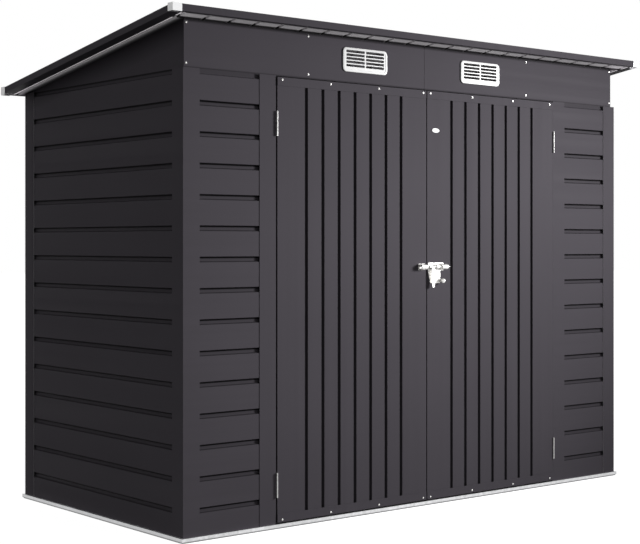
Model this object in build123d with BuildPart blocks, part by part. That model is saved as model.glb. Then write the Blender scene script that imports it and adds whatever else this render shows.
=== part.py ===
from build123d import *
import os

# Metal storage shed with a single-pitch roof and two hinged doors.
# Millimetres. X runs to the right seen from the front, Y runs to the back,
# Z runs up from the ground. The origin is under the middle of the plan.

# Plan and main heights
wall_width = 2300.0
wall_depth = 1142.0
rail_height = 17.0
header_bottom = 1641.0
header_height = 170.0
front_wall_top = header_bottom + header_height
back_wall_top = header_bottom
sheet = 1.5
overrun = 4.0

# Base rails
rail_proud = 10.0
rail_depth = 52.0
rail_kick = 4.0

# Grooved siding
groove_pitch = 109.0
groove_count = 14
first_groove_height = 105.0
groove_opening = 21.0
top_groove_height = 20.5
groove_depth = 8.0
groove_run = 5.0
plain_margin = 69.0
corner_setback = 12.0
panel_lap = 14.0

# Corner strips
strip_width = 71.0
inner_angle_leg = 40.0

# Headers, gables and vents
header_joint_gap = 1.5
vent_offset = 312.0
vent_length = 224.0
vent_height = 92.0
vent_rise = 3.0
vent_proud = 4.0
vent_corner = 17.0
vent_edge = 2.0
vent_rows = 5
vent_columns = 2
slot_length = 91.8
slot_height = 9.4
slot_pitch = 13.4
slot_mullion = 6.5
slot_rise = 5.0
vent_hole_margin = 6.0

# Doorway and jambs
doorway_width = 1497.0
running_gap = 5.0
jamb_depth = 32.0
jamb_flange = 30.0
jamb_strip = 73.5
jamb_lap = 55.0
head_rail_size = 25.0
head_rail_reach = 60.0
stop_lip = 22.0

# Doors
door_proud = 4.0
door_depth = 20.0
door_rail_height = 31.0
door_rib_count = 7
door_rib_pitch = 78.6
door_rib_opening = 15.0
door_rib_floor = 8.0
door_rib_depth = 8.0

# Hinges
lower_hinge_inset = 136.0
upper_hinge_inset = 169.0
hinge_height = 90.0
hinge_proud = 3.0
knuckle_radius = 2.6
knuckle_share = 0.4
knuckle_gap = 0.4
pin_radius = 1.3
pin_clearance = 0.08
leaf_thickness = 1.5
leaf_depth = 20.0

# Latch
latch_height = 941.0
bolt_radius = 5.0
bolt_standoff = 12.0
bolt_end_inset = 0.5
bolt_length = 113.0
bolt_point = 14.0
bolt_tip_radius = 1.5
bolt_clearance = 0.4
lever_inset = 21.5
lever_width = 15.0
lever_tip_radius = 6.0
lever_length = 76.0
lever_thickness = 5.0
plate_inset = 3.0
plate_length = 83.0
plate_above = 16.0
plate_below = 15.0
plate_thickness = 3.0
tongue_tip_inset = 14.5
tongue_far_inset = 68.5
tongue_drop = 65.0
plate_corner = 4.0
near_guide_inset = 35.0
near_guide_length = 11.0
near_guide_wall = 3.0
far_guide_inset = 66.0
far_guide_length = 31.0
far_guide_wall = 5.6
knob_inset = 74.0
knob_drop = 56.0
knob_radius = 10.0
knob_stem_radius = 4.0
knob_standoff = 13.0
keeper_inset = 10.5
keeper_length = 31.0
keeper_wall = 5.0
keeper_clearance = 1.0
keeper_plate_length = 34.0
keeper_plate_inset = 9.0
keeper_plate_height = 24.0
keeper_plate_thickness = 2.0

# Badge plate
badge_length = 40.0
badge_height = 17.0
badge_thickness = 1.5
badge_inset = 45.8
badge_drop = 154.5

# Roof
side_overhang = 88.0
eave_overhang = 70.0
back_overhang = 39.0
roof_rib_pitch = 107.0
roof_rib_count = 23
roof_rib_base = 18.0
roof_rib_crown = 9.0
roof_rib_height = 14.0
mid_sheet_rib_count = 5
trim_height = 24.7
trim_top_flange = 22.0
trim_front_flange = 13.0
trim_side_flange = 44.0
cap_wall = 1.5
cap_width = 36.5
cap_length = 30.0
cap_drop = 2.0

# Inner frame
top_rail_leg = 25.0
purlin_height = 32.0
purlin_width = 30.0
purlin_share = 0.18
mid_rail_groove_count = 7
mid_rail_height = 32.0
mid_rail_depth = 20.0
mid_rail_end_gap = 60.0
rail_joint_gap = 2.0

# Values that follow from the sizes above
half_width = wall_width / 2
half_depth = wall_depth / 2
front = -half_depth
roof_slope = (front_wall_top - back_wall_top) / wall_depth
slope_stretch = (1 + roof_slope**2) ** 0.5
panel_back = groove_depth + sheet
lap_bottom = header_bottom - panel_lap
half_doorway = doorway_width / 2
door_width = (doorway_width - 3 * running_gap) / 2
door_bottom = rail_height + running_gap
door_top = header_bottom - running_gap
door_face = front - door_proud
door_back = door_face + door_depth + sheet
door_edge = running_gap / 2
hinge_heights = (door_bottom + lower_hinge_inset, door_top - upper_hinge_inset)
hinge_axis_x = half_doorway - running_gap / 2
hinge_axis_y = door_face - hinge_proud
bolt_axis_y = door_face - bolt_standoff
header_back = panel_back + sheet
frame_inset = header_back + top_rail_leg
roof_half_width = half_width + side_overhang
roof_front = -half_depth - eave_overhang
roof_back = half_depth + back_overhang
roof_depth = roof_back - roof_front

# Wall frames, each seen from outside: X along the wall, Y inward, Z up
front_frame = Plane((-half_width, -half_depth, 0), x_dir=(1, 0, 0), z_dir=(0, 0, 1))
left_frame = Plane((-half_width, half_depth, 0), x_dir=(0, -1, 0), z_dir=(0, 0, 1))
right_frame = Plane((half_width, -half_depth, 0), x_dir=(0, 1, 0), z_dir=(0, 0, 1))
back_frame = Plane((half_width, half_depth, 0), x_dir=(-1, 0, 0), z_dir=(0, 0, 1))

os.makedirs("parts", exist_ok=True)


def roof_line(y):
    return front_wall_top - (y + half_depth) * roof_slope


def save(part, name):
    part.label = name
    export_step(part, f"parts/{name}.step")


def block(xs, ys, zs, mode=Mode.ADD):
    low = (Align.MIN, Align.MIN, Align.MIN)
    x, y, z = min(xs), min(ys), min(zs)
    with Locations((x, y, z)):
        Box(max(xs) - x, max(ys) - y, max(zs) - z, align=low, mode=mode)


def section_plane(frame, along):
    place = frame.from_local_coords(Vector(along, 0, 0))
    return Plane(place, x_dir=frame.y_dir, z_dir=frame.x_dir)


def roof_section(y):
    return Plane((0, y, roof_line(y)), x_dir=(1, 0, 0), z_dir=(0, -1, 0))


def run_down_roof(length):
    extrude(amount=length * slope_stretch, dir=(0, 1, -roof_slope))


def spread(count, pitch):
    return [(i - (count - 1) / 2) * pitch for i in range(count)]


# Base rails: channels open to the inside, on which the walls stand.
# Their foot is set back a little, and their ends are mitred.
def base_rail(name, frame, wall_length):
    inner = rail_depth - rail_proud
    outer = -rail_proud
    foot = outer + rail_kick
    past = rail_depth + overrun
    with BuildPart() as rail:
        with BuildSketch(section_plane(frame, -past)):
            Polygon(
                (foot, 0),
                (inner, 0),
                (inner, rail_height),
                (outer, rail_height),
                (outer, rail_kick),
                (foot, rail_kick),
                align=None,
            )
            Polygon(
                (foot + sheet, sheet),
                (inner + overrun, sheet),
                (inner + overrun, rail_height - sheet),
                (outer + sheet, rail_height - sheet),
                (outer + sheet, rail_kick + sheet),
                (foot + sheet, rail_kick + sheet),
                align=None,
                mode=Mode.SUBTRACT,
            )
        extrude(amount=wall_length + 2 * past)
        with BuildSketch(frame):
            for corner, turn in ((0, 1), (wall_length, -1)):
                Polygon(
                    (corner - turn * past, -past),
                    (corner + turn * past, past),
                    (corner - turn * past, past),
                    align=None,
                )
        extrude(amount=rail_height, mode=Mode.SUBTRACT)
    save(rail.part, name)


base_rail("base_rail_front", front_frame, wall_width)
base_rail("base_rail_back", back_frame, wall_width)
base_rail("base_rail_left", left_frame, wall_depth)
base_rail("base_rail_right", right_frame, wall_depth)


# Siding panels with pressed grooves; the uppermost is open to the header.
# A margin leaves a plain closed strip; no margin lets the grooves run out.
def siding_panel(name, frame, start, end, start_margin=None, end_margin=None):
    groove_start = start + start_margin if start_margin else start - groove_pitch
    groove_end = end - end_margin if end_margin else end + groove_pitch
    length = groove_end - groove_start
    boss_run = groove_run * panel_back / groove_depth
    middle = (Align.CENTER, Align.MIN, Align.CENTER)
    centre = (groove_start + groove_end) / 2
    boss_length = length + 2 * sheet
    grooves = [(first_groove_height + i * groove_pitch, groove_opening) for i in range(groove_count)]
    grooves.append((header_bottom, 2 * top_groove_height))
    with BuildPart(frame) as panel:
        block((start, end), (0, sheet), (rail_height, header_bottom))
        for level, opening in grooves:
            boss_opening = opening + 2 * sheet
            with Locations((centre, 0, level)):
                Wedge(
                    boss_length,
                    panel_back,
                    boss_opening,
                    boss_run,
                    boss_run,
                    boss_length - boss_run,
                    boss_opening - boss_run,
                    align=middle,
                )
        for level, opening in grooves:
            with Locations((centre, 0, level)):
                Wedge(
                    length,
                    groove_depth,
                    opening,
                    groove_run,
                    groove_run,
                    length - groove_run,
                    opening - groove_run,
                    align=middle,
                    mode=Mode.SUBTRACT,
                )
        block((start, end), (0, panel_back), (rail_height, header_bottom), mode=Mode.INTERSECT)
    save(panel.part, name)


jamb_back = half_doorway + sheet
left_of_door = half_width - jamb_back
right_of_door = half_width + jamb_back
far_end = wall_width - corner_setback
door_margin = jamb_strip - sheet
left_margin = plain_margin - sheet
seam_margin = plain_margin / 2
side_far_end = wall_depth - corner_setback
siding_panel("front_left_panel", front_frame, 0, left_of_door, start_margin=plain_margin)
siding_panel("front_right_panel", front_frame, right_of_door, far_end, start_margin=door_margin)
siding_panel(
    "left_wall_panel", left_frame, corner_setback, wall_depth - sheet, end_margin=left_margin
)
siding_panel("right_wall_panel", right_frame, corner_setback, side_far_end)
siding_panel(
    "back_right_panel", back_frame, corner_setback, half_width, end_margin=seam_margin
)
siding_panel("back_left_panel", back_frame, half_width, far_end, start_margin=seam_margin)


# Corner strips: folded angles outside three corners, one inside the fourth
def corner_strip(name, x_side, y_side, top):
    x_corner = x_side * half_width
    y_corner = y_side * half_depth
    x_out = x_corner + x_side * sheet
    y_out = y_corner + y_side * sheet
    with BuildPart() as strip:
        heights = (rail_height, top)
        block((x_corner - x_side * strip_width, x_out), (y_corner, y_out), heights)
        block((x_corner, x_out), (y_corner - y_side * strip_width, y_out), heights)
    save(strip.part, name)


back_strip_top = roof_line(half_depth + sheet)
corner_strip("front_right_corner", 1, -1, header_bottom)
corner_strip("back_left_corner", -1, 1, back_strip_top)
corner_strip("back_right_corner", 1, 1, back_strip_top)

with BuildPart() as front_left_corner:
    angle_x = -half_width + sheet
    angle_y = front + sheet
    angle_heights = (rail_height, header_bottom)
    block((angle_x, angle_x + inner_angle_leg), (angle_y, angle_y + sheet), angle_heights)
    block((angle_x, angle_x + sheet), (angle_y, angle_y + inner_angle_leg), angle_heights)
save(front_left_corner.part, "front_left_corner")


# Headers over the doorway, each with a hole behind its vent.
# Beside the doorway they lap down behind the siding.
header_face = front + panel_back
header_end = half_width - panel_back
header_top = roof_line(header_face + sheet)
vent_level = (header_bottom + header_top) / 2 + vent_rise
slot_level = vent_level + slot_rise
slot_rows_height = (vent_rows - 1) * slot_pitch + slot_height
slot_columns_length = vent_columns * slot_length + (vent_columns - 1) * slot_mullion


def header(name, side):
    depths = (header_face, header_face + sheet)
    seam = side * header_joint_gap / 2
    with BuildPart() as panel:
        block((seam, side * header_end), depths, (header_bottom, header_top))
        block((side * jamb_back, side * header_end), depths, (lap_bottom, header_bottom))
        with Locations((side * vent_offset, header_face, slot_level)):
            Box(
                slot_columns_length + vent_hole_margin,
                2 * overrun,
                slot_rows_height + vent_hole_margin,
                mode=Mode.SUBTRACT,
            )
    save(panel.part, name)


header("front_left_header", -1)
header("front_right_header", 1)


# Gable panels: plain, from behind the side siding up to the roof
def gable(name, side):
    face = side * (half_width - panel_back)
    near = header_face + sheet
    far = half_depth - panel_back
    with BuildPart() as panel:
        with BuildSketch(Plane.YZ.offset(face)):
            Polygon(
                (near, lap_bottom),
                (far, lap_bottom),
                (far, roof_line(far)),
                (near, roof_line(near)),
                align=None,
            )
        extrude(amount=-side * sheet)
    save(panel.part, name)


gable("left_gable_panel", -1)
gable("right_gable_panel", 1)


# Vents: moulded plates with two columns of slots
def vent(name, side):
    with BuildPart() as plate:
        with BuildSketch(Plane.XZ.offset(-header_face)):
            with Locations((side * vent_offset, vent_level)):
                RectangleRounded(vent_length, vent_height, vent_corner)
        extrude(amount=vent_proud)
        fillet(plate.faces().sort_by(Axis.Y)[0].edges(), vent_edge)
        slots = [
            (side * vent_offset + across, header_face, slot_level + up)
            for across in spread(vent_columns, slot_length + slot_mullion)
            for up in spread(vent_rows, slot_pitch)
        ]
        with Locations(slots):
            Box(slot_length, 2 * (vent_proud + overrun), slot_height, mode=Mode.SUBTRACT)
    save(plate.part, name)


vent("left_vent", -1)
vent("right_vent", 1)


# Door jambs: the left one laps over the siding, the right one sits behind it
with BuildPart() as left_door_jamb:
    jamb_heights = (rail_height, header_bottom)
    block((-half_doorway - jamb_strip, -half_doorway), (front - sheet, front), jamb_heights)
    block((-jamb_back, -half_doorway), (front - sheet, front + jamb_depth), jamb_heights)
    block(
        (-jamb_back - jamb_flange, -half_doorway),
        (front + jamb_depth - sheet, front + jamb_depth),
        jamb_heights,
    )
save(left_door_jamb.part, "left_door_jamb")

with BuildPart() as right_door_jamb:
    block((half_doorway, jamb_back), (front, front + jamb_depth), jamb_heights)
    block(
        (half_doorway, jamb_back + jamb_lap),
        (front + sheet, front + 2 * sheet),
        jamb_heights,
    )
    block(
        (half_doorway, jamb_back + jamb_flange),
        (front + jamb_depth - sheet, front + jamb_depth),
        jamb_heights,
    )
save(right_door_jamb.part, "right_door_jamb")

# Rail over the doorway, with a lip that stops the doors
with BuildPart() as door_head_rail:
    head_span = half_doorway + head_rail_reach
    head_front = header_face + sheet
    head_back = head_front + head_rail_size
    head_top = header_bottom + head_rail_size
    block((-head_span, head_span), (head_front, head_back), (header_bottom, head_top))
    block(
        (-head_span - overrun, head_span + overrun),
        (head_front + sheet, head_back + overrun),
        (header_bottom + sheet, head_top - sheet),
        mode=Mode.SUBTRACT,
    )
    stop_face = door_back + running_gap
    stop_span = half_doorway - running_gap
    block(
        (-stop_span, stop_span),
        (stop_face, stop_face + sheet),
        (header_bottom - stop_lip, header_bottom),
    )
save(door_head_rail.part, "door_head_rail")

# Angles under the roof edge, front, back and along both gables
with BuildPart() as wall_top_rails:
    top_span = half_width - frame_inset - rail_joint_gap
    rail_front = header_face + sheet
    rail_back = half_depth - panel_back
    for wall, inner in ((rail_front, 1), (rail_back, -1)):
        leg = wall + inner * sheet
        tip = wall + inner * top_rail_leg
        foot = roof_line(wall) - top_rail_leg
        with BuildSketch(Plane.YZ):
            Polygon(
                (wall, roof_line(wall)),
                (tip, roof_line(tip)),
                (tip, roof_line(tip) - sheet),
                (leg, roof_line(leg) - sheet),
                (leg, foot),
                (wall, foot),
                align=None,
            )
        extrude(amount=top_span, both=True)
    for side in (-1, 1):
        wall = side * (half_width - header_back)
        leg = wall - side * sheet
        tip = wall - side * top_rail_leg
        with BuildSketch(roof_section(rail_front)):
            Polygon(
                (wall, 0),
                (tip, 0),
                (tip, -sheet),
                (leg, -sheet),
                (leg, -top_rail_leg),
                (wall, -top_rail_leg),
                align=None,
            )
        run_down_roof(rail_back - rail_front)
save(wall_top_rails.part, "wall_top_rails")

# Purlins under the roof sheets
with BuildPart() as roof_purlins:
    for side in (-1, 1):
        near = side * purlin_share * wall_depth - purlin_width / 2
        far = near + purlin_width
        with BuildSketch(Plane.YZ):
            Polygon(
                (near, roof_line(near)),
                (far, roof_line(far)),
                (far, roof_line(far) - purlin_height),
                (near, roof_line(near) - purlin_height),
                align=None,
            )
            Polygon(
                (near + sheet, roof_line(near + sheet) - sheet),
                (far + overrun, roof_line(far + overrun) - sheet),
                (far + overrun, roof_line(far + overrun) - purlin_height + sheet),
                (near + sheet, roof_line(near + sheet) - purlin_height + sheet),
                align=None,
                mode=Mode.SUBTRACT,
            )
        extrude(amount=half_width - frame_inset, both=True)
save(roof_purlins.part, "roof_purlins")

# Channels across the siding half way up, on the back and both sides
with BuildPart() as wall_mid_rails:
    mid_level = first_groove_height + mid_rail_groove_count * groove_pitch
    mid_heights = (mid_level - mid_rail_height / 2, mid_level + mid_rail_height / 2)
    mid_hollow = (mid_heights[0] + sheet, mid_heights[1] - sheet)
    mid_out = half_width - panel_back
    mid_in = mid_out - mid_rail_depth
    mid_far = half_depth - panel_back
    mid_near = mid_far - mid_rail_depth
    block((-mid_out, mid_out), (mid_near, mid_far), mid_heights)
    block(
        (-mid_out - overrun, mid_out + overrun),
        (mid_near - overrun, mid_far - sheet),
        mid_hollow,
        mode=Mode.SUBTRACT,
    )
    for side in (-1, 1):
        side_end = mid_near - rail_joint_gap
        block((side * mid_in, side * mid_out), (front + mid_rail_end_gap, side_end), mid_heights)
        block(
            (side * (mid_in - overrun), side * (mid_out - sheet)),
            (front + mid_rail_end_gap - overrun, side_end),
            mid_hollow,
            mode=Mode.SUBTRACT,
        )
save(wall_mid_rails.part, "wall_mid_rails")


# Roof sheets with ribs that run from front to back
def roof_sheet(name, start, end):
    outer_base = roof_rib_base / 2
    outer_crown = roof_rib_crown / 2
    inner_base = outer_base - sheet
    inner_crown = outer_crown - sheet
    ribs = spread(roof_rib_count, roof_rib_pitch)
    near_ribs = [(x, 0) for x in ribs if start - outer_base < x < end + outer_base]
    with BuildPart() as roofing:
        with BuildSketch(roof_section(roof_front + sheet)):
            Polygon((start, 0), (end, 0), (end, sheet), (start, sheet), align=None)
            with Locations(near_ribs):
                Polygon(
                    (-outer_base, 0),
                    (outer_base, 0),
                    (outer_crown, roof_rib_height),
                    (-outer_crown, roof_rib_height),
                    align=None,
                )
            with Locations(near_ribs):
                Polygon(
                    (-inner_base, -overrun),
                    (inner_base, -overrun),
                    (inner_base, 0),
                    (inner_crown, roof_rib_height - sheet),
                    (-inner_crown, roof_rib_height - sheet),
                    (-inner_base, 0),
                    align=None,
                    mode=Mode.SUBTRACT,
                )
            Polygon(
                (start, 0),
                (end, 0),
                (end, roof_rib_height),
                (start, roof_rib_height),
                align=None,
                mode=Mode.INTERSECT,
            )
        run_down_roof(roof_depth - 2 * sheet)
    save(roofing.part, name)


roof_sheet_edge = roof_half_width - sheet
roof_seam = (mid_sheet_rib_count + 1 / 2) * roof_rib_pitch
roof_sheet("roof_sheet_left", -roof_sheet_edge, -roof_seam)
roof_sheet("roof_sheet_mid_left", -roof_seam, 0)
roof_sheet("roof_sheet_mid_right", 0, roof_seam)
roof_sheet("roof_sheet_right", roof_seam, roof_sheet_edge)

# Roof trims: folded channels round the roof edge, open to the sheets
trim_bottom = -sheet
trim_top = trim_height - sheet


def cross_trim(name, side, outer):
    web = outer - side * sheet
    lower = outer - side * trim_front_flange
    upper = outer - side * trim_top_flange
    with BuildPart() as trim:
        with BuildSketch(Plane.YZ):
            Polygon(
                (outer, roof_line(outer) + trim_bottom),
                (lower, roof_line(lower) + trim_bottom),
                (lower, roof_line(lower)),
                (web, roof_line(web)),
                (web, roof_line(web) + trim_top - sheet),
                (upper, roof_line(upper) + trim_top - sheet),
                (upper, roof_line(upper) + trim_top),
                (outer, roof_line(outer) + trim_top),
                align=None,
            )
        extrude(amount=roof_sheet_edge, both=True)
    save(trim.part, name)


def side_trim(name, side):
    outer = side * roof_half_width
    web = outer - side * sheet
    lower = outer - side * trim_side_flange
    upper = outer - side * trim_top_flange
    with BuildPart() as trim:
        with BuildSketch(roof_section(roof_front)):
            Polygon(
                (outer, trim_bottom), (web, trim_bottom), (web, trim_top), (outer, trim_top), align=None
            )
        run_down_roof(roof_depth)
        with BuildSketch(roof_section(roof_front + trim_top_flange)):
            Polygon((outer, trim_bottom), (lower, trim_bottom), (lower, 0), (outer, 0), align=None)
            Polygon(
                (outer, trim_top),
                (upper, trim_top),
                (upper, trim_top - sheet),
                (outer, trim_top - sheet),
                align=None,
            )
        run_down_roof(roof_depth - 2 * trim_top_flange)
    save(trim.part, name)


cross_trim("roof_trim_front", -1, roof_front)
cross_trim("roof_trim_back", 1, roof_back)
side_trim("roof_trim_left", -1)
side_trim("roof_trim_right", 1)

# Corner caps: pressed covers over the trim ends, level on top and open below
with BuildPart() as roof_corner_caps:
    for x_side in (-1, 1):
        trim_side = x_side * roof_half_width
        cap_side = trim_side + x_side * cap_wall
        cap_inner = trim_side - x_side * cap_width
        for y_side, trim_end in ((-1, roof_front), (1, roof_back)):
            cap_end = trim_end + y_side * cap_wall
            cap_tail = trim_end - y_side * cap_length
            cap_bottom = roof_line(trim_end) + trim_bottom - cap_drop
            cap_ceiling = max(roof_line(trim_end), roof_line(cap_tail)) + trim_top
            block((cap_side, cap_inner), (cap_end, cap_tail), (cap_bottom, cap_ceiling + cap_wall))
            block(
                (trim_side, cap_inner - x_side * overrun),
                (trim_end, cap_tail - y_side * overrun),
                (cap_bottom - overrun, cap_ceiling),
                mode=Mode.SUBTRACT,
            )
save(roof_corner_caps.part, "roof_corner_caps")


# Door panels: ribbed trays held top and bottom in channel rails
def door_panel(name, side):
    middle = side * (door_edge + door_width / 2)
    ribs = [(middle + across, door_face) for across in spread(door_rib_count, door_rib_pitch)]
    half_opening = door_rib_opening / 2
    half_floor = door_rib_floor / 2
    near = (Align.CENTER, Align.MIN)
    with BuildPart() as panel:
        with BuildSketch(Plane.XY.offset(door_bottom + sheet)):
            with Locations((middle, door_face)):
                Rectangle(door_width, door_depth, align=near)
            with Locations((middle, door_face + sheet)):
                Rectangle(door_width - 2 * sheet, door_depth, align=near, mode=Mode.SUBTRACT)
            with Locations(ribs):
                Polygon(
                    (-half_opening - sheet, 0),
                    (half_opening + sheet, 0),
                    (half_floor + sheet, door_rib_depth + sheet),
                    (-half_floor - sheet, door_rib_depth + sheet),
                    align=None,
                )
            with Locations(ribs):
                Polygon(
                    (-half_opening, -overrun),
                    (half_opening, -overrun),
                    (half_opening, 0),
                    (half_floor, door_rib_depth),
                    (-half_floor, door_rib_depth),
                    (-half_opening, 0),
                    align=None,
                    mode=Mode.SUBTRACT,
                )
        extrude(amount=door_top - door_bottom - 2 * sheet)
    save(panel.part, name)


def door_rails(name, side):
    inner = side * door_edge
    outer = side * (door_edge + door_width)
    past = (inner - side * overrun, outer + side * overrun)
    depths = (door_face - sheet, door_back)
    hollow = (door_face, door_back - sheet)
    with BuildPart() as rails:
        block((inner, outer), depths, (door_bottom, door_bottom + door_rail_height))
        block((inner, outer), depths, (door_top - door_rail_height, door_top))
        block(past, hollow, (door_bottom + sheet, door_top - sheet), mode=Mode.SUBTRACT)
    save(rails.part, name)


door_panel("left_door_panel", -1)
door_panel("right_door_panel", 1)
door_rails("left_door_rails", -1)
door_rails("right_door_rails", 1)


# Hinges: the frame leaves carry the pins, the door leaves turn on them
knuckle_length = hinge_height * knuckle_share
swept_radius = knuckle_radius + knuckle_gap
outer_knuckle = (hinge_height - knuckle_length) / 2
outer_knuckle_offset = (hinge_height - outer_knuckle) / 2


def leaf(face, side, height):
    block(
        (face, face + side * leaf_thickness),
        (hinge_axis_y, hinge_axis_y + leaf_depth),
        (height - hinge_height / 2, height + hinge_height / 2),
    )


with BuildPart() as frame_hinges:
    for side in (-1, 1):
        for height in hinge_heights:
            leaf(side * half_doorway, -side, height)
            with Locations((side * hinge_axis_x, hinge_axis_y, height)):
                Cylinder(knuckle_radius, hinge_height)
                Cylinder(swept_radius, knuckle_length + 2 * knuckle_gap, mode=Mode.SUBTRACT)
                Cylinder(pin_radius, hinge_height)
save(frame_hinges.part, "frame_hinges")


def door_hinges(name, side):
    with BuildPart() as leaves:
        for height in hinge_heights:
            leaf(side * (door_edge + door_width), side, height)
            with Locations((side * hinge_axis_x, hinge_axis_y, height)):
                with Locations((0, 0, outer_knuckle_offset), (0, 0, -outer_knuckle_offset)):
                    Cylinder(swept_radius, outer_knuckle, mode=Mode.SUBTRACT)
                Cylinder(knuckle_radius, knuckle_length)
                Cylinder(pin_radius + pin_clearance, knuckle_length, mode=Mode.SUBTRACT)
    save(leaves.part, name)


door_hinges("left_door_hinges", -1)
door_hinges("right_door_hinges", 1)


# Latch on the right door: plate with two guides, sliding bolt, knob
bolt_start = door_edge + bolt_end_inset
plate_face = door_face - plate_thickness
latch_across = Plane((0, bolt_axis_y, latch_height), x_dir=(0, 1, 0), z_dir=(1, 0, 0))
latch_front = Plane((door_edge, door_face, latch_height), x_dir=(1, 0, 0), z_dir=(0, -1, 0))

with BuildPart() as latch_plate:
    with BuildSketch(latch_front) as plate_outline:
        plate_end = plate_inset + plate_length
        Polygon(
            (plate_inset, plate_above),
            (plate_inset, -plate_below),
            (tongue_tip_inset, -tongue_drop),
            (tongue_far_inset, -tongue_drop),
            (tongue_far_inset, -plate_below),
            (plate_end, -plate_below),
            (plate_end, plate_above),
            align=None,
        )
        fillet(plate_outline.vertices(), plate_corner)
    extrude(amount=plate_thickness)
    guides = (
        (near_guide_inset, near_guide_length, near_guide_wall),
        (far_guide_inset, far_guide_length, far_guide_wall),
    )
    for guide_inset, guide_length, guide_wall in guides:
        guide_radius = bolt_radius + bolt_clearance + guide_wall
        with BuildSketch(latch_across.offset(door_edge + guide_inset)):
            Circle(guide_radius)
            Rectangle(plate_face - bolt_axis_y, 2 * guide_radius, align=(Align.MIN, Align.CENTER))
            Circle(bolt_radius + bolt_clearance, mode=Mode.SUBTRACT)
        extrude(amount=guide_length)
save(latch_plate.part, "latch_plate")

with BuildPart() as latch_bolt:
    with BuildSketch(latch_across.offset(bolt_start)):
        Circle(bolt_radius)
    extrude(amount=bolt_length - bolt_point)
    with BuildSketch(latch_across.offset(bolt_start + bolt_length - bolt_point)):
        Circle(bolt_radius)
    with BuildSketch(latch_across.offset(bolt_start + bolt_length)):
        Circle(bolt_tip_radius)
    loft()
    with BuildSketch(latch_front.offset(bolt_standoff)):
        half_lever = lever_width / 2
        Polygon(
            (lever_inset - half_lever, 0),
            (lever_inset - lever_tip_radius, -lever_length),
            (lever_inset + lever_tip_radius, -lever_length),
            (lever_inset + half_lever, 0),
            align=None,
        )
        with Locations((lever_inset, -lever_length)):
            Circle(lever_tip_radius)
    extrude(amount=lever_thickness / 2, both=True)
save(latch_bolt.part, "latch_bolt")

with BuildPart() as latch_knob:
    knob_place = (knob_inset, -knob_drop)
    with BuildSketch(latch_front):
        with Locations(knob_place):
            Circle(knob_stem_radius)
    extrude(amount=knob_standoff)
    with Locations(latch_front.offset(knob_standoff)):
        with Locations(knob_place):
            Sphere(knob_radius)
save(latch_knob.part, "latch_knob")

# Keeper on the left door: the bolt slides into its loop
with BuildPart() as latch_keeper:
    keeper_end = -door_edge - keeper_inset
    keeper_bore = bolt_radius + keeper_clearance
    keeper_outer = keeper_bore + keeper_wall
    keeper_face = door_face - keeper_plate_thickness
    with BuildSketch(latch_across.offset(keeper_end - keeper_length)):
        Circle(keeper_outer)
        Rectangle(door_face - bolt_axis_y, 2 * keeper_outer, align=(Align.MIN, Align.CENTER))
        Circle(keeper_bore, mode=Mode.SUBTRACT)
        Rectangle(
            keeper_face - bolt_axis_y,
            2 * keeper_bore,
            align=(Align.MIN, Align.CENTER),
            mode=Mode.SUBTRACT,
        )
    extrude(amount=keeper_length)
    block(
        (-door_edge - keeper_plate_inset - keeper_plate_length, -door_edge - keeper_plate_inset),
        (keeper_face, door_face),
        (latch_height - keeper_plate_height / 2, latch_height + keeper_plate_height / 2),
    )
save(latch_keeper.part, "latch_keeper")

# Plain oval plate near the top of the right door
with BuildPart() as door_badge:
    with BuildSketch(Plane.XZ.offset(-door_face)):
        with Locations((door_edge + badge_inset, door_top - badge_drop)):
            Ellipse(badge_length / 2, badge_height / 2)
    extrude(amount=badge_thickness)
save(door_badge.part, "door_badge")
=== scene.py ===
import math

import bpy
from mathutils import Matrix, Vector


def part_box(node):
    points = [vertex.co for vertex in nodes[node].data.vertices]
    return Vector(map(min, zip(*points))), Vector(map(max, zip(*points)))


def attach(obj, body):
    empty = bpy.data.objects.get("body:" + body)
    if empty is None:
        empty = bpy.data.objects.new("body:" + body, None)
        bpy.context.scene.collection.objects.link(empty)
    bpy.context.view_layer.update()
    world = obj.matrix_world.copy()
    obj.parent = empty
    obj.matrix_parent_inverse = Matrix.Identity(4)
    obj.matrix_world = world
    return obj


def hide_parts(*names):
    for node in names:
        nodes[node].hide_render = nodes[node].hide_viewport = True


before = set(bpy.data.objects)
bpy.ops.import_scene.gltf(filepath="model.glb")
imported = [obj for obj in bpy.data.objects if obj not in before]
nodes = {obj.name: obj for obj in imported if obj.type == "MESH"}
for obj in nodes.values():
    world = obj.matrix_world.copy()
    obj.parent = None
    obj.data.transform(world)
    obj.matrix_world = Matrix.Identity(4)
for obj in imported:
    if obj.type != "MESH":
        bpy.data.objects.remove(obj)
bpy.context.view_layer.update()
print("shed: frame loaded,", len(nodes), "nodes")


# helpers for the modelling

nearly = {"merge": 0.00001, "same": 0.000001, "facing": 0.99}  # one point, one line, one direction


def clearSelection():
    if bpy.context.mode != "OBJECT":
        bpy.ops.object.mode_set(mode="OBJECT")
    bpy.ops.object.select_all(action="DESELECT")


def choose(piece):
    clearSelection()
    piece.select_set(True)
    bpy.context.view_layer.objects.active = piece


def pickFaces(piece, wanted):
    bpy.ops.object.mode_set(mode="EDIT")
    bpy.ops.mesh.select_mode(type="FACE")
    bpy.ops.mesh.select_all(action="DESELECT")
    bpy.ops.object.mode_set(mode="OBJECT")
    for face in piece.data.polygons:
        face.select = wanted(face.center, face.normal)
    bpy.ops.object.mode_set(mode="EDIT")


def pickEdges(piece, wanted):
    bpy.ops.object.mode_set(mode="EDIT")
    bpy.ops.mesh.select_mode(type="EDGE")
    bpy.ops.mesh.select_all(action="DESELECT")
    bpy.ops.object.mode_set(mode="OBJECT")
    points = piece.data.vertices
    for edge in piece.data.edges:
        edge.select = wanted(points[edge.vertices[0]].co, points[edge.vertices[1]].co)
    bpy.ops.object.mode_set(mode="EDIT")


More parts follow.
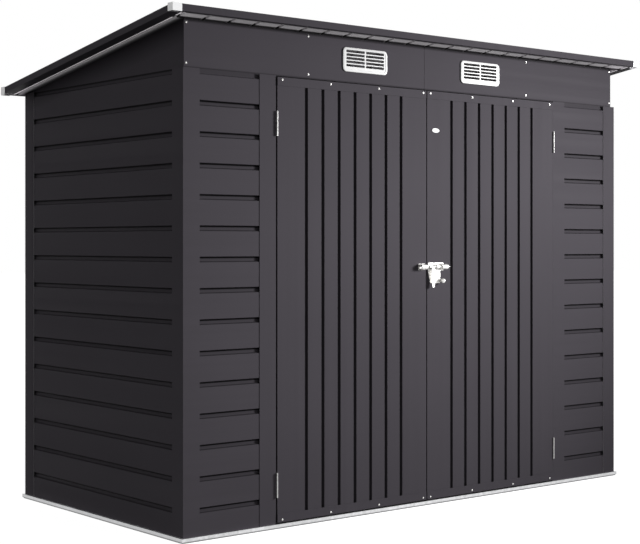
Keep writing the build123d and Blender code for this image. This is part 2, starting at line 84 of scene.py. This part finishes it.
def push(offset):  # extrude what is selected and move it
    bpy.ops.mesh.extrude_region_move(TRANSFORM_OT_translate={"value": offset})


def settle(piece, smoothAngle=30):  # place and turn go into the mesh
    choose(piece)
    bpy.ops.object.transform_apply(location=True, rotation=True, scale=True)
    bpy.ops.object.mode_set(mode="EDIT")
    bpy.ops.mesh.select_all(action="SELECT")
    bpy.ops.mesh.remove_doubles(threshold=nearly["merge"])
    bpy.ops.mesh.normals_make_consistent(inside=False)
    bpy.ops.object.mode_set(mode="OBJECT")
    bpy.ops.object.shade_smooth_by_angle(angle=math.radians(smoothAngle))


def copyOf(piece, place=(0, 0, 0), turn=(0, 0, 0)):
    twin = piece.copy()
    twin.data = piece.data.copy()
    twin.location = place
    twin.rotation_euler = turn
    bpy.context.scene.collection.objects.link(twin)
    return twin


def joined(pieces, name):
    clearSelection()
    for piece in pieces:
        piece.select_set(True)
    bpy.context.view_layer.objects.active = pieces[0]
    bpy.ops.object.transform_apply(location=True, rotation=True, scale=True)
    bpy.ops.object.join()
    whole = bpy.context.view_layer.objects.active
    whole.name = name
    whole.data.name = name
    return whole


def fit(piece, material, body):
    piece.data.materials.clear()
    piece.data.materials.append(material)
    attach(piece, body)


# finishes

def newFinish(name):
    material = bpy.data.materials.new(name)
    material.use_nodes = True
    tree = material.node_tree
    return material, tree, tree.nodes["Principled BSDF"]


def addNode(tree, kind, settings=None, values=None):
    node = tree.nodes.new(kind)
    for key, value in (settings or {}).items():
        setattr(node, key, value)
    for key, value in (values or {}).items():
        node.inputs[key].default_value = value
    return node


def stretchedCoords(tree, stretch):
    coords = addNode(tree, "ShaderNodeTexCoord")
    mapping = addNode(tree, "ShaderNodeMapping", values={"Scale": stretch})
    tree.links.new(coords.outputs["Object"], mapping.inputs["Vector"])
    return mapping.outputs["Vector"]


def noise(tree, scale, detail=2.0, stretch=(1, 1, 1)):
    texture = addNode(tree, "ShaderNodeTexNoise", values={"Scale": scale, "Detail": detail})
    tree.links.new(stretchedCoords(tree, stretch), texture.inputs["Vector"])
    return texture.outputs["Fac"]


def ranged(tree, value, low, high, fromLow=0.3, fromHigh=0.7):
    spread = addNode(tree, "ShaderNodeMapRange", values={
        "From Min": fromLow, "From Max": fromHigh, "To Min": low, "To Max": high})
    tree.links.new(value, spread.inputs["Value"])
    return spread.outputs["Result"]


def maths(tree, operation, first, second):
    node = addNode(tree, "ShaderNodeMath", {"operation": operation})
    for socket, value in zip(node.inputs, (first, second)):
        if isinstance(value, (int, float)):
            socket.default_value = value
        else:
            tree.links.new(value, socket)
    return node.outputs["Value"]


def mixColour(tree, amount, first, second, blend="MIX"):
    node = addNode(tree, "ShaderNodeMix", {"data_type": "RGBA", "blend_type": blend})
    for key, value in ((0, amount), (6, first), (7, second)):
        if isinstance(value, (int, float)):
            node.inputs[key].default_value = value
        elif isinstance(value, tuple):
            node.inputs[key].default_value = (*value, 1)
        else:
            tree.links.new(value, node.inputs[key])
    return node.outputs[2]


def bump(tree, height, strength, distance):
    node = addNode(tree, "ShaderNodeBump", values={"Strength": strength, "Distance": distance})
    tree.links.new(height, node.inputs["Height"])
    return node.outputs["Normal"]


wear = {"radius": 0.0015, "samples": 4, "edge": (0.75, 0.97),
        "patchScale": 14, "patchDetail": 4, "patches": (0.42, 0.62)}


def edgeWear(tree):  # 1 along sharp edges, broken up by patches
    rounded = addNode(tree, "ShaderNodeBevel", {"samples": wear["samples"]}, {"Radius": wear["radius"]})
    plain = addNode(tree, "ShaderNodeNewGeometry")
    dot = addNode(tree, "ShaderNodeVectorMath", {"operation": "DOT_PRODUCT"})
    tree.links.new(rounded.outputs["Normal"], dot.inputs[0])
    tree.links.new(plain.outputs["Normal"], dot.inputs[1])
    edge = ranged(tree, dot.outputs["Value"], 1.0, 0.0, *wear["edge"])
    patches = ranged(tree, noise(tree, wear["patchScale"], wear["patchDetail"]), 0.0, 1.0, *wear["patches"])
    return maths(tree, "MULTIPLY", edge, patches)


def facing(tree, outward, edge=-0.1):  # 1 where the surface looks away from outward
    coords = addNode(tree, "ShaderNodeTexCoord")
    dot = addNode(tree, "ShaderNodeVectorMath", {"operation": "DOT_PRODUCT"},
                  {1: Vector(outward).normalized()})
    tree.links.new(coords.outputs["Normal"], dot.inputs[0])
    return maths(tree, "LESS_THAN", dot.outputs["Value"], edge)


def axisValue(tree, axis):  # one coordinate in metres
    coords = addNode(tree, "ShaderNodeTexCoord")
    split = addNode(tree, "ShaderNodeSeparateXYZ")
    tree.links.new(coords.outputs["Object"], split.inputs["Vector"])
    return split.outputs[axis]


def shifted(origin, offsets):
    return tuple(origin + offset for offset in offsets)


# faces and edges of the shed that the finishes follow

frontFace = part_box("front_left_panel")[0].y
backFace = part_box("back_left_panel")[1].y
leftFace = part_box("left_wall_panel")[0].x
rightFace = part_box("right_wall_panel")[1].x
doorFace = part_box("left_door_panel")[0].y
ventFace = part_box("left_vent")[0].y
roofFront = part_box("roof_trim_front")[0].y
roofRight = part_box("roof_trim_right")[1].x
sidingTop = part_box("left_wall_panel")[1].z
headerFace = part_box("front_left_header")[0].y
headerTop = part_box("front_left_header")[1].z
gableLow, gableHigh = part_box("right_gable_panel")
purlinLow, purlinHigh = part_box("roof_purlins")
purlinHeight = 0.032
roofSlope = (purlinHigh.z - purlinLow.z - purlinHeight) / (purlinHigh.y - purlinLow.y)
eaveLevel = gableHigh.z + gableLow.y * roofSlope  # wall top, brought along the slope to the middle


# painted shade in the pressed grooves and the door ribs

grooveShadeBands = {
    "start": 0.0945, "pitch": 0.109, "opening": 0.021,
    "frontTop": 1.62, "sideTop": 9.0,  # the top groove lies open above this height, on the sides none does
    "topShade": 0.72, "ribShade": 0.5, "depths": (0.0006, 0.003),
    # painted shade across each groove from its bottom: a dark line, a lighter floor, a black band under the
    # upper edge
    "shades": ((0.03, 0.25), (0.14, 0.35), (0.20, 0.78), (0.60, 0.72), (0.70, 0.10), (0.98, 0.05)),
}


def paintedGrooveShade(tree, axis, plane, openTop=None):  # painted shade, darker down in the grooves
    depth = maths(tree, "ABSOLUTE", maths(tree, "SUBTRACT", axisValue(tree, axis), plane), 0)
    inside = ranged(tree, depth, 0.0, 1.0, *grooveShadeBands["depths"])
    if openTop is None:
        return maths(tree, "SUBTRACT", 1.0, maths(tree, "MULTIPLY", inside, 1 - grooveShadeBands["ribShade"]))
    height = axisValue(tree, "Z")
    aboveStart = maths(tree, "SUBTRACT", height, grooveShadeBands["start"])
    rise = maths(tree, "MODULO", aboveStart, grooveShadeBands["pitch"])
    ramp = addNode(tree, "ShaderNodeValToRGB")
    stops = ramp.color_ramp.elements
    for place, shade in grooveShadeBands["shades"]:
        stop = stops.new(place)
        stop.color = (shade, shade, shade, 1)
    stops.remove(stops[0])
    stops.remove(stops[-1])
    tree.links.new(maths(tree, "DIVIDE", rise, grooveShadeBands["opening"]), ramp.inputs["Fac"])
    atTop = maths(tree, "GREATER_THAN", height, openTop)
    shade = maths(tree, "MAXIMUM", ramp.outputs["Color"],
                  maths(tree, "MULTIPLY", atTop, grooveShadeBands["topShade"]))
    loss = maths(tree, "MULTIPLY", inside, maths(tree, "SUBTRACT", 1.0, shade))
    return maths(tree, "SUBTRACT", 1.0, loss)


# painted contact shade under the roof's edges, and painted light on the underside strips by the side trims

eaves = {
    "wallShade": (1.0, 0.26), "wallReach": 0.085, "flangeShade": 0.36, "downward": -0.5,
    "stripShadeAndLight": (0.22, 1.3), "stripReach": (0.008, 0.0445),
    "trimShade": (0.10, 1.0), "trimReach": (0.018, 0.026),
    "headerShade": (1.0, 0.06), "headerReach": (-0.0245, -0.0175), "indoorReach": (0.0, 0.001),
}


def eaveShade(tree):  # on the walls, darker close under the sloping eave
    fall = maths(tree, "MULTIPLY", axisValue(tree, "Y"), roofSlope)
    level = maths(tree, "ADD", axisValue(tree, "Z"), fall)
    return ranged(tree, level, *eaves["wallShade"], eaveLevel - eaves["wallReach"], eaveLevel)


def flangeShade(tree):  # on the trims, dark where they look down
    below = maths(tree, "MULTIPLY", facing(tree, (0, 0, 1), eaves["downward"]), 1 - eaves["flangeShade"])
    return maths(tree, "SUBTRACT", 1.0, below)


def stripShadeAndLight(tree):  # on the roof's underside, painted shade toward the side walls and painted light out by the side trims, outdoors only
    reach = maths(tree, "SUBTRACT", maths(tree, "ABSOLUTE", axisValue(tree, "X"), 0), gableHigh.x)
    ramp = ranged(tree, reach, *eaves["stripShadeAndLight"], *eaves["stripReach"])
    within = maths(tree, "MAXIMUM", maths(tree, "LESS_THAN", reach, 0.0),
                   maths(tree, "LESS_THAN", axisValue(tree, "Y"), frontFace))
    return maths(tree, "MAXIMUM", maths(tree, "MULTIPLY", ramp, ramp), within)


def undersideShade(tree):  # dark beside the front trim and the header, then the side strips
    y = axisValue(tree, "Y")
    byTrim = ranged(tree, y, *eaves["trimShade"], *shifted(roofFront, eaves["trimReach"]))
    byHeader = ranged(tree, y, *eaves["headerShade"], *shifted(headerFace, eaves["headerReach"]))
    indoors = ranged(tree, y, 0.0, 1.0, *shifted(headerFace, eaves["indoorReach"]))
    frontStrip = maths(tree, "MAXIMUM", maths(tree, "MULTIPLY", byTrim, byHeader), indoors)
    return maths(tree, "MULTIPLY", frontStrip, stripShadeAndLight(tree))


# paint

sheetPaint = {
    "colour": (0.0875, 0.080, 0.0925), "wornColour": (0.125, 0.12, 0.13),
    "backCoat": (0.60, 0.60, 0.61), "bareZinc": (0.85, 0.85, 0.86),
    "undersideCoat": (0.54, 0.528, 0.538), "undersideRough": 0.8,
    "roughness": (0.50, 0.62), "gloss": 0.03, "glossTint": (0.96, 0.86, 1.0),
    "cloudScale": 1.7, "unevenness": (0.96, 1.04), "detail": 3,
    "rollMarks": (0.97, 1.03), "rollAlong": 0.5, "rollAcross": 30,
    "peelScale": 520, "peelBump": (0.12, 0.0003),
}
headerShadeLines = (  # painted shade where the header laps the siding and meets the roof
    {"shades": (0.45, 1.0), "heights": shifted(sidingTop, (0.002, 0.007))},
    {"shades": (1.0, 0.35), "heights": shifted(headerTop, (-0.0104, -0.0034))},
)
cappedEnd = {"y": shifted(roofFront, (0.029, 0.031)), "x": shifted(roofRight, (-0.034, -0.030))}


def paintedSheet(name, outward=None, along="z", pressed=None, metalBack=False, shadeLines=(),
                 bareEnd=None, underEave=False, dimBelow=False):
    material, tree, shader = newFinish(name)
    cloud = noise(tree, sheetPaint["cloudScale"], sheetPaint["detail"])
    stretch = [sheetPaint["rollAlong" if axis == along else "rollAcross"] for axis in "xyz"]
    rollMarks = ranged(tree, noise(tree, 1.0, sheetPaint["detail"], stretch), *sheetPaint["rollMarks"])
    shade = maths(tree, "MULTIPLY", ranged(tree, cloud, *sheetPaint["unevenness"]), rollMarks)
    if pressed:
        shade = maths(tree, "MULTIPLY", shade, paintedGrooveShade(tree, *pressed))
    # painted shade lines at the given heights
    for lap in shadeLines:
        lapShade = ranged(tree, axisValue(tree, "Z"), *lap["shades"], *lap["heights"])
        shade = maths(tree, "MULTIPLY", shade, lapShade)
    if underEave:
        shade = maths(tree, "MULTIPLY", shade, eaveShade(tree))
    if dimBelow:
        shade = maths(tree, "MULTIPLY", shade, flangeShade(tree))
    colour = mixColour(tree, edgeWear(tree), sheetPaint["colour"], sheetPaint["wornColour"])
    roughness = ranged(tree, rollMarks, *sheetPaint["roughness"], *sheetPaint["rollMarks"])
    if metalBack:
        behind = facing(tree, outward)
        coat = mixColour(tree, 1.0, sheetPaint["undersideCoat"], undersideShade(tree), "MULTIPLY")
        colour = mixColour(tree, behind, colour, coat)
        backRoughness = maths(tree, "MULTIPLY", behind, sheetPaint["undersideRough"])
        roughness = maths(tree, "MAXIMUM", roughness, backRoughness)
        tree.links.new(behind, shader.inputs["Metallic"])
    elif outward:
        colour = mixColour(tree, facing(tree, outward), colour, sheetPaint["backCoat"])
    if bareEnd:  # bare zinc inside the front cap
        bare = maths(tree, "MULTIPLY", ranged(tree, axisValue(tree, "Y"), 1.0, 0.0, *bareEnd["y"]),
                     ranged(tree, axisValue(tree, "X"), 0.0, 1.0, *bareEnd["x"]))
        colour = mixColour(tree, bare, colour, sheetPaint["bareZinc"])
        tree.links.new(bare, shader.inputs["Metallic"])
    tree.links.new(mixColour(tree, 1.0, colour, shade, "MULTIPLY"), shader.inputs["Base Color"])
    tree.links.new(roughness, shader.inputs["Roughness"])
    peel = noise(tree, sheetPaint["peelScale"], 1)
    tree.links.new(bump(tree, peel, *sheetPaint["peelBump"]), shader.inputs["Normal"])
    shader.inputs["Specular IOR Level"].default_value = sheetPaint["gloss"]
    shader.inputs["Specular Tint"].default_value = (*sheetPaint["glossTint"], 1)
    return material


# zinc, plastic and plated steel

zincSheet = {
    "colours": ((0.49, 0.495, 0.50), (0.59, 0.59, 0.60)), "roughness": (0.34, 0.50), "metallic": 1.0,
    "capColours": ((0.62, 0.62, 0.625), (0.69, 0.69, 0.695)), "capRoughness": (0.58, 0.68),
    "capMetallic": 0.75,
    "spangleScale": 90, "flakes": (0.1, 0.9), "dullScale": 6, "dullDetail": 4, "dull": (0.94, 1.04),
    "footShade": (0.42, 1.0), "footLine": (0.0045, 0.0075),
    "grainScale": 700, "grainBump": (0.08, 0.0003),
}


def galvanised(name, colours, roughness, metallic):
    material, tree, shader = newFinish(name)
    spangle = addNode(tree, "ShaderNodeTexVoronoi", values={"Scale": zincSheet["spangleScale"]})
    tree.links.new(stretchedCoords(tree, (1, 1, 1)), spangle.inputs["Vector"])
    grey = addNode(tree, "ShaderNodeRGBToBW")
    tree.links.new(spangle.outputs["Color"], grey.inputs["Color"])
    flake = ranged(tree, grey.outputs["Val"], 0.0, 1.0, *zincSheet["flakes"])
    dull = ranged(tree, noise(tree, zincSheet["dullScale"], zincSheet["dullDetail"]), *zincSheet["dull"])
    # painted shade along the foot: darker in the lowest few millimetres
    foot = ranged(tree, axisValue(tree, "Z"), *zincSheet["footShade"], *zincSheet["footLine"])
    shade = maths(tree, "MULTIPLY", dull, foot)
    colour = mixColour(tree, flake, *colours)
    tree.links.new(mixColour(tree, 1.0, colour, shade, "MULTIPLY"), shader.inputs["Base Color"])
    tree.links.new(ranged(tree, flake, *roughness, 0, 1), shader.inputs["Roughness"])
    grain = noise(tree, zincSheet["grainScale"])
    tree.links.new(bump(tree, grain, *zincSheet["grainBump"]), shader.inputs["Normal"])
    shader.inputs["Metallic"].default_value = metallic
    return material


mouldedWhite = {
    "colours": ((0.82, 0.82, 0.82), (0.87, 0.87, 0.865)), "cloudScale": 22,
    "roughness": (0.36, 0.48), "roughScale": 60, "detail": 3, "gloss": 0.8,
    "slotShade": (1.0, 0.03), "slotReach": (0.0014, 0.0024),  # painted shade from just behind the front, in the slots and along the cover's sides
    "grainScale": 1400, "grainBump": (0.10, 0.0002),
}


def whitePlastic(name):
    material, tree, shader = newFinish(name)
    cloud = ranged(tree, noise(tree, mouldedWhite["cloudScale"], mouldedWhite["detail"]), 0.0, 1.0)
    colour = mixColour(tree, cloud, *mouldedWhite["colours"])
    # painted shade in the vent slots
    slotDepths = shifted(ventFace, mouldedWhite["slotReach"])
    deep = ranged(tree, axisValue(tree, "Y"), *mouldedWhite["slotShade"], *slotDepths)
    tree.links.new(mixColour(tree, 1.0, colour, deep, "MULTIPLY"), shader.inputs["Base Color"])
    patches = noise(tree, mouldedWhite["roughScale"], mouldedWhite["detail"])
    tree.links.new(ranged(tree, patches, *mouldedWhite["roughness"]), shader.inputs["Roughness"])
    grain = noise(tree, mouldedWhite["grainScale"], 1)
    tree.links.new(bump(tree, grain, *mouldedWhite["grainBump"]), shader.inputs["Normal"])
    shader.inputs["Specular IOR Level"].default_value = mouldedWhite["gloss"]
    return material


platedSteel = {
    "colours": ((0.60, 0.595, 0.58), (0.78, 0.77, 0.755)),
    "hingeColours": ((0.38, 0.375, 0.37), (0.48, 0.475, 0.47)),
    "cloudScale": 130, "cloudDetail": 4, "roughness": (0.36, 0.52),
    "brushStretch": (60, 60, 2200), "brushBump": (0.05, 0.0002),
}


def brightZinc(name, colours):
    material, tree, shader = newFinish(name)
    brushed = noise(tree, 1.0, stretch=platedSteel["brushStretch"])
    cloud = ranged(tree, noise(tree, platedSteel["cloudScale"], platedSteel["cloudDetail"]), 0.0, 1.0)
    tree.links.new(mixColour(tree, cloud, *colours), shader.inputs["Base Color"])
    tree.links.new(ranged(tree, brushed, *platedSteel["roughness"]), shader.inputs["Roughness"])
    tree.links.new(bump(tree, brushed, *platedSteel["brushBump"]), shader.inputs["Normal"])
    shader.inputs["Metallic"].default_value = 1.0
    return material


# each node's finish

frontPaint = paintedSheet("frontPaint", (0, -1, 0), "x", ("Y", frontFace, grooveShadeBands["frontTop"]))
backPaint = paintedSheet("backPaint", (0, 1, 0), "x", ("Y", backFace, grooveShadeBands["frontTop"]))
leftPaint = paintedSheet("leftPaint", (-1, 0, 0), "y", ("X", leftFace, grooveShadeBands["sideTop"]),
                         underEave=True)
rightPaint = paintedSheet("rightPaint", (1, 0, 0), "y", ("X", rightFace, grooveShadeBands["sideTop"]),
                          underEave=True)
headerPaint = paintedSheet("headerPaint", (0, -1, 0), "x", shadeLines=headerShadeLines)
leftGablePaint = paintedSheet("leftGablePaint", (-1, 0, 0), "y", underEave=True)
rightGablePaint = paintedSheet("rightGablePaint", (1, 0, 0), "y", underEave=True)
doorPaint = paintedSheet("doorPaint", (0, -1, 0), "z", ("Y", doorFace))
roofPaint = paintedSheet("roofPaint", (0, 0, 1), "y", metalBack=True)
trimPaint = paintedSheet("trimPaint")
leftTrimPaint = paintedSheet("leftTrimPaint", dimBelow=True)
rightTrimPaint = paintedSheet("rightTrimPaint", dimBelow=True, bareEnd=cappedEnd)
zinc = galvanised("galvanisedSteel", zincSheet["colours"], zincSheet["roughness"], zincSheet["metallic"])
capZinc = galvanised("capZinc", zincSheet["capColours"], zincSheet["capRoughness"], zincSheet["capMetallic"])
plastic = whitePlastic("whitePlastic")
bright = brightZinc("brightZinc", platedSteel["colours"])
hingeZinc = brightZinc("hingeZinc", platedSteel["hingeColours"])
cornerPaints = {
    "front_left_corner": paintedSheet("frontLeftStripPaint", (-1, -1, 0)),
    "front_right_corner": paintedSheet("frontRightStripPaint", (1, -1, 0)),
    "back_left_corner": paintedSheet("backLeftStripPaint", (-1, 1, 0), underEave=True),
    "back_right_corner": paintedSheet("backRightStripPaint", (1, 1, 0), underEave=True),
}

nodeFinishes = {
    "front_left_panel": frontPaint, "front_right_panel": frontPaint,
    "front_left_header": headerPaint, "front_right_header": headerPaint,
    "back_left_panel": backPaint, "back_right_panel": backPaint,
    "left_wall_panel": leftPaint, "left_gable_panel": leftGablePaint,
    "right_wall_panel": rightPaint, "right_gable_panel": rightGablePaint,
    "left_door_panel": doorPaint, "right_door_panel": doorPaint,
    "left_door_jamb": trimPaint, "right_door_jamb": trimPaint,
    "left_door_rails": trimPaint, "right_door_rails": trimPaint,
    "door_head_rail": trimPaint, "roof_corner_caps": capZinc,
    "roof_trim_left": leftTrimPaint, "roof_trim_right": rightTrimPaint,
    "frame_hinges": hingeZinc, "left_door_hinges": hingeZinc, "right_door_hinges": hingeZinc,
    "roof_sheet_left": roofPaint, "roof_sheet_mid_left": roofPaint,
    "roof_sheet_mid_right": roofPaint, "roof_sheet_right": roofPaint,
    **cornerPaints,
}
slotFinishes = {"siding_paint": trimPaint, "roof_paint": roofPaint, "frame_steel": zinc,
                "white_plastic": plastic, "bright_metal": bright}
for name, node in nodes.items():
    for holder in node.material_slots:
        holder.material = nodeFinishes.get(name, slotFinishes[holder.material.name.split(".")[0]])
print("shed: finishes on", len(nodes), "nodes")


# screws

screwSizes = {
    "washerRadius": 0.0036, "washerHeight": 0.0006,
    "headRadius": 0.0027, "headHeight": 0.0015,
    "shoulderShare": 0.55, "slopeShare": 0.27, "crownShare": 0.18,  # of the head's height
    "slopeInsetShare": 0.16, "crownInsetShare": 0.24,  # of the head's radius
    "recessLength": 0.003, "recessWidth": 0.0008, "recessDepth": 0.0009,
    "sides": 16, "turnStep": 0.7,  # each next screw stops a little further round
}


def makeScrew():
    sizes = screwSizes
    clearSelection()
    bpy.ops.mesh.primitive_cylinder_add(vertices=sizes["sides"], radius=sizes["washerRadius"],
                                        depth=sizes["washerHeight"],
                                        location=(0, 0, sizes["washerHeight"] / 2))
    screw = bpy.context.object
    bpy.ops.object.transform_apply(location=True)
    pickFaces(screw, lambda centre, normal: normal.z > nearly["facing"])
    bpy.ops.mesh.inset(thickness=sizes["washerRadius"] - sizes["headRadius"])
    push((0, 0, sizes["headHeight"] * sizes["shoulderShare"]))
    bpy.ops.mesh.inset(thickness=sizes["headRadius"] * sizes["slopeInsetShare"])
    bpy.ops.transform.translate(value=(0, 0, sizes["headHeight"] * sizes["slopeShare"]))
    bpy.ops.mesh.inset(thickness=sizes["headRadius"] * sizes["crownInsetShare"])
    bpy.ops.transform.translate(value=(0, 0, sizes["headHeight"] * sizes["crownShare"]))
    top = sizes["washerHeight"] + sizes["headHeight"]
    for turn in (0, math.pi / 2):  # the cross recess, one slot at a time
        clearSelection()
        bpy.ops.mesh.primitive_cube_add(size=1, location=(0, 0, top), rotation=(0, 0, turn))
        cutter = bpy.context.object
        cutter.scale = (sizes["recessLength"], sizes["recessWidth"], sizes["recessDepth"] * 2)
        bpy.ops.object.transform_apply(location=False, rotation=True, scale=True)
        choose(screw)
        cut = screw.modifiers.new("recess", "BOOLEAN")
        cut.operation = "DIFFERENCE"
        cut.object = cutter
        bpy.ops.object.modifier_apply(modifier=cut.name)
        bpy.data.objects.remove(cutter)
    settle(screw)
    return screw


screw = makeScrew()
towardFront = (math.pi / 2, 0, 0)


def driveScrews(name, places, turn, body):
    copies = []
    for number, place in enumerate(places):
        copies.append(copyOf(screw, place, turn))
        copies[-1].rotation_euler.rotate_axis("Z", screwSizes["turnStep"] * number)
    row = joined(copies, name)
    fit(row, bright, body)


doorScrews = {"across": (0.0175, 0.2505, 0.4905, 0.719), "fromEnd": 0.0095}  # from the free edge
for side, body in (("left", "left_door"), ("right", "right_door")):
    low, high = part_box(side + "_door_rails")
    places = []
    for reach in doorScrews["across"]:
        x = high.x - reach if side == "left" else low.x + reach
        for z in (low.z + doorScrews["fromEnd"], high.z - doorScrews["fromEnd"]):
            places.append((x, low.y, z))
    driveScrews(side + "DoorScrews", places, towardFront, body)

headerScrews = {"inner": 0.589, "outer": 1.131, "fromBottom": 0.0305, "fromTop": 0.0115}
for side, sign in (("left", -1), ("right", 1)):
    low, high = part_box("front_" + side + "_header")
    places = [(sign * x, low.y, z) for x in (headerScrews["inner"], headerScrews["outer"])
              for z in (low.z + headerScrews["fromBottom"], high.z - headerScrews["fromTop"])]
    driveScrews(side + "HeaderScrews", places, towardFront, "shed")

roofScrews = {"perSide": 6, "first": 0.0535, "pitch": 0.214, "sheet": 0.0015,
              "lines": (-0.548, -0.2056, 0.2056, 0.549)}  # in the pans, between ribs
for number, y in enumerate(roofScrews["lines"]):
    top = purlinHigh.z - (y - purlinLow.y) * roofSlope + roofScrews["sheet"]
    places = [(sign * (roofScrews["first"] + i * roofScrews["pitch"]), y, top)
              for sign in (-1, 1) for i in range(roofScrews["perSide"])]
    driveScrews("roofScrews" + str(number + 1), places, (-math.atan(roofSlope), 0, 0), "shed")
print("shed: screws driven")


# vents

ventSizes = {
    "corner": 0.017, "edge": 0.0014, "rim": 0.0085, "step": 0.0009,
    "rows": 5, "pitch": 0.0134, "rise": 0.005, "slot": (0.0918, 0.03, 0.0094), "mullion": 0.0065,
    "slotRound": 0.0018, "cornerSteps": 7, "edgeSteps": 3, "smoothAngle": 35,
}


def makeVent(size):
    sizes = ventSizes
    clearSelection()
    bpy.ops.mesh.primitive_cube_add(size=1)
    cover = bpy.context.object
    cover.scale = size
    bpy.ops.object.transform_apply(scale=True)
    front = -size.y / 2
    pickEdges(cover, lambda a, b: abs(a.x - b.x) + abs(a.z - b.z) < nearly["same"])
    bpy.ops.mesh.bevel(offset=sizes["corner"], segments=sizes["cornerSteps"], affect="EDGES")
    pickEdges(cover, lambda a, b: max(a.y, b.y) < front + nearly["same"])
    bpy.ops.mesh.bevel(offset=sizes["edge"], segments=sizes["edgeSteps"], affect="EDGES")
    pickFaces(cover, lambda centre, normal: normal.y < -nearly["facing"])
    bpy.ops.mesh.inset(thickness=sizes["rim"] - sizes["edge"])
    bpy.ops.mesh.inset(thickness=sizes["step"], depth=-sizes["step"])
    bpy.ops.object.mode_set(mode="OBJECT")
    cutters = []
    for column in (-1, 1):
        for row in range(sizes["rows"]):
            clearSelection()
            bpy.ops.mesh.primitive_cube_add(size=1)
            cutter = bpy.context.object
            cutter.scale = sizes["slot"]
            bpy.ops.object.transform_apply(scale=True)
            pickEdges(cutter, lambda a, b: abs(a.x - b.x) + abs(a.z - b.z) < nearly["same"])
            bpy.ops.mesh.bevel(offset=sizes["slotRound"], segments=sizes["edgeSteps"], affect="EDGES")
            bpy.ops.object.mode_set(mode="OBJECT")
            cutter.location = (column * (sizes["slot"][0] + sizes["mullion"]) / 2, front,
                               (row - (sizes["rows"] - 1) / 2) * sizes["pitch"] + sizes["rise"])
            cutters.append(cutter)
    slots = joined(cutters, "ventSlots")
    choose(cover)
    cut = cover.modifiers.new("slots", "BOOLEAN")
    cut.operation = "DIFFERENCE"
    cut.object = slots
    bpy.ops.object.modifier_apply(modifier=cut.name)
    bpy.data.objects.remove(slots)
    settle(cover, sizes["smoothAngle"])
    return cover


ventLow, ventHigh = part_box("left_vent")
vent = makeVent(ventHigh - ventLow)
for side in ("left", "right"):
    low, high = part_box(side + "_vent")
    cover = copyOf(vent, (low + high) / 2)
    cover.name = side + "VentCover"
    settle(cover, ventSizes["smoothAngle"])
    fit(cover, plastic, "shed")
    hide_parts(side + "_vent")
bpy.data.objects.remove(vent)
bpy.data.objects.remove(screw)
print("shed: vents set")


# floor, light and camera

studio = {
    "floorColours": ((0.42, 0.42, 0.42), (0.90, 0.90, 0.90)),  # to other light, to the eye
    "floorSize": 80, "floorDrop": 0.0005, "floorRough": (0.9, 0.95), "floorPatches": 0.8,
    "floorGlow": (0.88, 1.0), "glowReach": (2.2, 6.0),
    "fill": 0.215,
    "keyPlace": (3.34, -2.88, 1.88), "keyAim": (-0.78, -0.571, 0.98),
    "keyWide": 1.0, "keyTall": 0.8, "keySpread": 57, "keyPower": 25.5,
}
view = {"place": (-3.8975, -4.6687, 1.031), "turn": 39.32,
        "lens": 80.3, "sensor": 36, "shiftY": -0.04375}


def seenBy(tree):  # 1 for camera, glossy and transmission rays
    path = addNode(tree, "ShaderNodeLightPath")
    shown = maths(tree, "MAXIMUM", path.outputs["Is Camera Ray"], path.outputs["Is Glossy Ray"])
    return maths(tree, "MAXIMUM", shown, path.outputs["Is Transmission Ray"])


def layFloor():
    clearSelection()
    bpy.ops.mesh.primitive_plane_add(size=studio["floorSize"], location=(0, 0, -studio["floorDrop"]))
    floor = bpy.context.object
    floor.name = "studioFloor"
    material, tree, shader = newFinish("studioFloor")
    seen = seenBy(tree)
    patches = noise(tree, studio["floorPatches"])
    tree.links.new(ranged(tree, patches, *studio["floorRough"]), shader.inputs["Roughness"])
    tree.links.new(mixColour(tree, seen, *studio["floorColours"]), shader.inputs["Base Color"])
    shader.inputs["Specular IOR Level"].default_value = 0.0
    shader.inputs["Emission Color"].default_value = (1, 1, 1, 1)
    away = addNode(tree, "ShaderNodeVectorMath", {"operation": "LENGTH"})
    tree.links.new(stretchedCoords(tree, (1, 1, 1)), away.inputs[0])
    glow = ranged(tree, away.outputs["Value"], *studio["floorGlow"], *studio["glowReach"])
    tree.links.new(maths(tree, "MULTIPLY", seen, glow), shader.inputs["Emission Strength"])
    floor.data.materials.append(material)


def lightStudio():
    world = bpy.data.worlds.new("studioWorld")
    bpy.context.scene.world = world
    world.use_nodes = True
    tree = world.node_tree
    fill = tree.nodes["Background"]
    fill.inputs["Color"].default_value = (1, 1, 1, 1)
    fill.inputs["Strength"].default_value = studio["fill"]
    white = addNode(tree, "ShaderNodeBackground", values={"Color": (1, 1, 1, 1), "Strength": 1.0})
    mix = addNode(tree, "ShaderNodeMixShader")
    tree.links.new(seenBy(tree), mix.inputs["Fac"])
    tree.links.new(fill.outputs["Background"], mix.inputs[1])
    tree.links.new(white.outputs["Background"], mix.inputs[2])
    tree.links.new(mix.outputs["Shader"], tree.nodes["World Output"].inputs["Surface"])
    clearSelection()
    bpy.ops.object.light_add(type="AREA", location=studio["keyPlace"])
    key = bpy.context.object
    key.name = "keyLight"
    key.data.shape = "RECTANGLE"
    key.data.size = studio["keyWide"]
    key.data.size_y = studio["keyTall"]
    key.data.spread = math.radians(studio["keySpread"])
    key.data.energy = studio["keyPower"]
    aim = Vector(studio["keyAim"]) - Vector(studio["keyPlace"])
    key.rotation_euler = aim.to_track_quat("-Z", "Y").to_euler()


def setCamera():
    clearSelection()
    bpy.ops.object.camera_add(location=view["place"],
                              rotation=(math.pi / 2, 0, -math.radians(view["turn"])))
    camera = bpy.context.object
    camera.data.lens = view["lens"]
    camera.data.sensor_width = view["sensor"]
    camera.data.sensor_fit = "HORIZONTAL"
    camera.data.shift_y = view["shiftY"]
    bpy.context.scene.camera = camera


layFloor()
lightStudio()
setCamera()
bpy.context.scene.view_settings.view_transform = "Standard"
print("shed: floor, light and camera set")
